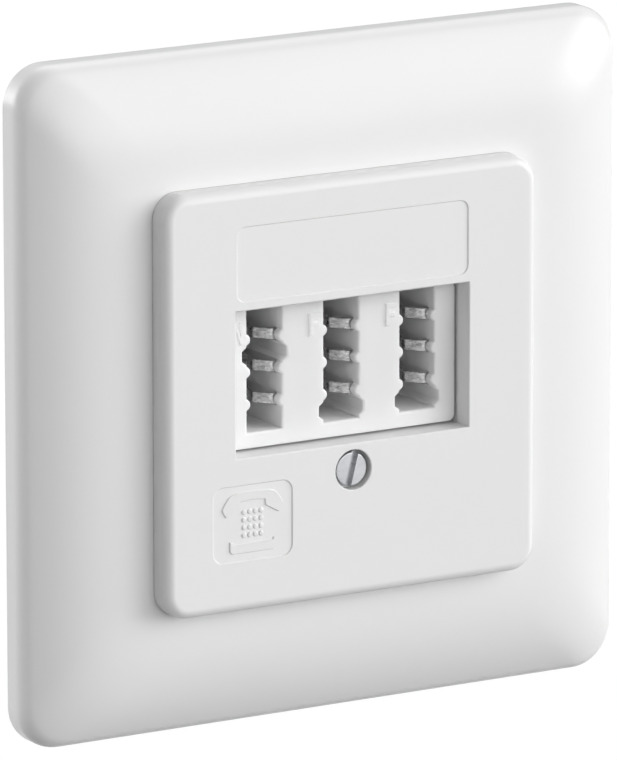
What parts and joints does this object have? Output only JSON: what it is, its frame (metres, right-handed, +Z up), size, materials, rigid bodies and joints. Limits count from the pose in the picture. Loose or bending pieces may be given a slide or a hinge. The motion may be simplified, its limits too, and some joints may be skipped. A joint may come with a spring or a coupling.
{
  "type": "telephone wall socket",
  "caption": "Flush telephone wall socket: square cover frame, centre plate with a window, and a block of coded plug-in jacks with spring contacts on a steel support ring.",
  "frame": {"origin": "centre of the cover frame on the wall plane, in the middle of the wall box", "axes": "+X to the right seen from the room, +Y into the wall, +Z up"},
  "size_m": [0.0804, 0.0253, 0.0804],
  "materials": {
    "cover_plastic": "satin gloss moulded white",
    "block_plastic": "moulded white",
    "tinned_spring": "tinned spring bronze",
    "brass": "turned and milled",
    "zinc_plated_steel": "zinc plated",
    "board_laminate": "paper laminate"
  },
  "bodies": {
    "root": {"cover_frame": "cover_plastic", "centre_plate": "cover_plastic", "centre_screw": "zinc_plated_steel", "screw_insert": "brass", "jack_block": "block_plastic", "contact_1_left_1": "tinned_spring", "contact_1_left_2": "tinned_spring", "contact_1_left_3": "tinned_spring", "contact_1_right_1": "tinned_spring", "contact_1_right_2": "tinned_spring", "contact_1_right_3": "tinned_spring", "contact_2_left_1": "tinned_spring", "contact_2_left_2": "tinned_spring", "contact_2_left_3": "tinned_spring", "contact_2_right_1": "tinned_spring", "contact_2_right_2": "tinned_spring", "contact_2_right_3": "tinned_spring", "contact_3_left_1": "tinned_spring", "contact_3_left_2": "tinned_spring", "contact_3_left_3": "tinned_spring", "contact_3_right_1": "tinned_spring", "contact_3_right_2": "tinned_spring", "contact_3_right_3": "tinned_spring", "terminal_clamp_1": "brass", "terminal_clamp_2": "brass", "terminal_clamp_3": "brass", "terminal_clamp_4": "brass", "terminal_clamp_5": "brass", "terminal_clamp_6": "brass", "terminal_clamp_7": "brass", "terminal_clamp_8": "brass", "terminal_clamp_9": "brass", "terminal_clamp_10": "brass", "terminal_screw_1": "zinc_plated_steel", "terminal_screw_2": "zinc_plated_steel", "terminal_screw_3": "zinc_plated_steel", "terminal_screw_4": "zinc_plated_steel", "terminal_screw_5": "zinc_plated_steel", "terminal_screw_6": "zinc_plated_steel", "terminal_screw_7": "zinc_plated_steel", "terminal_screw_8": "zinc_plated_steel", "terminal_screw_9": "zinc_plated_steel", "terminal_screw_10": "zinc_plated_steel", "support_ring": "zinc_plated_steel", "rivet_1": "zinc_plated_steel", "rivet_2": "zinc_plated_steel", "rivet_3": "zinc_plated_steel", "rivet_4": "zinc_plated_steel", "contact_board": "board_laminate", "rear_cover": "block_plastic", "cover_screw_1": "zinc_plated_steel", "cover_screw_2": "zinc_plated_steel"}
  },
  "joints": []
}
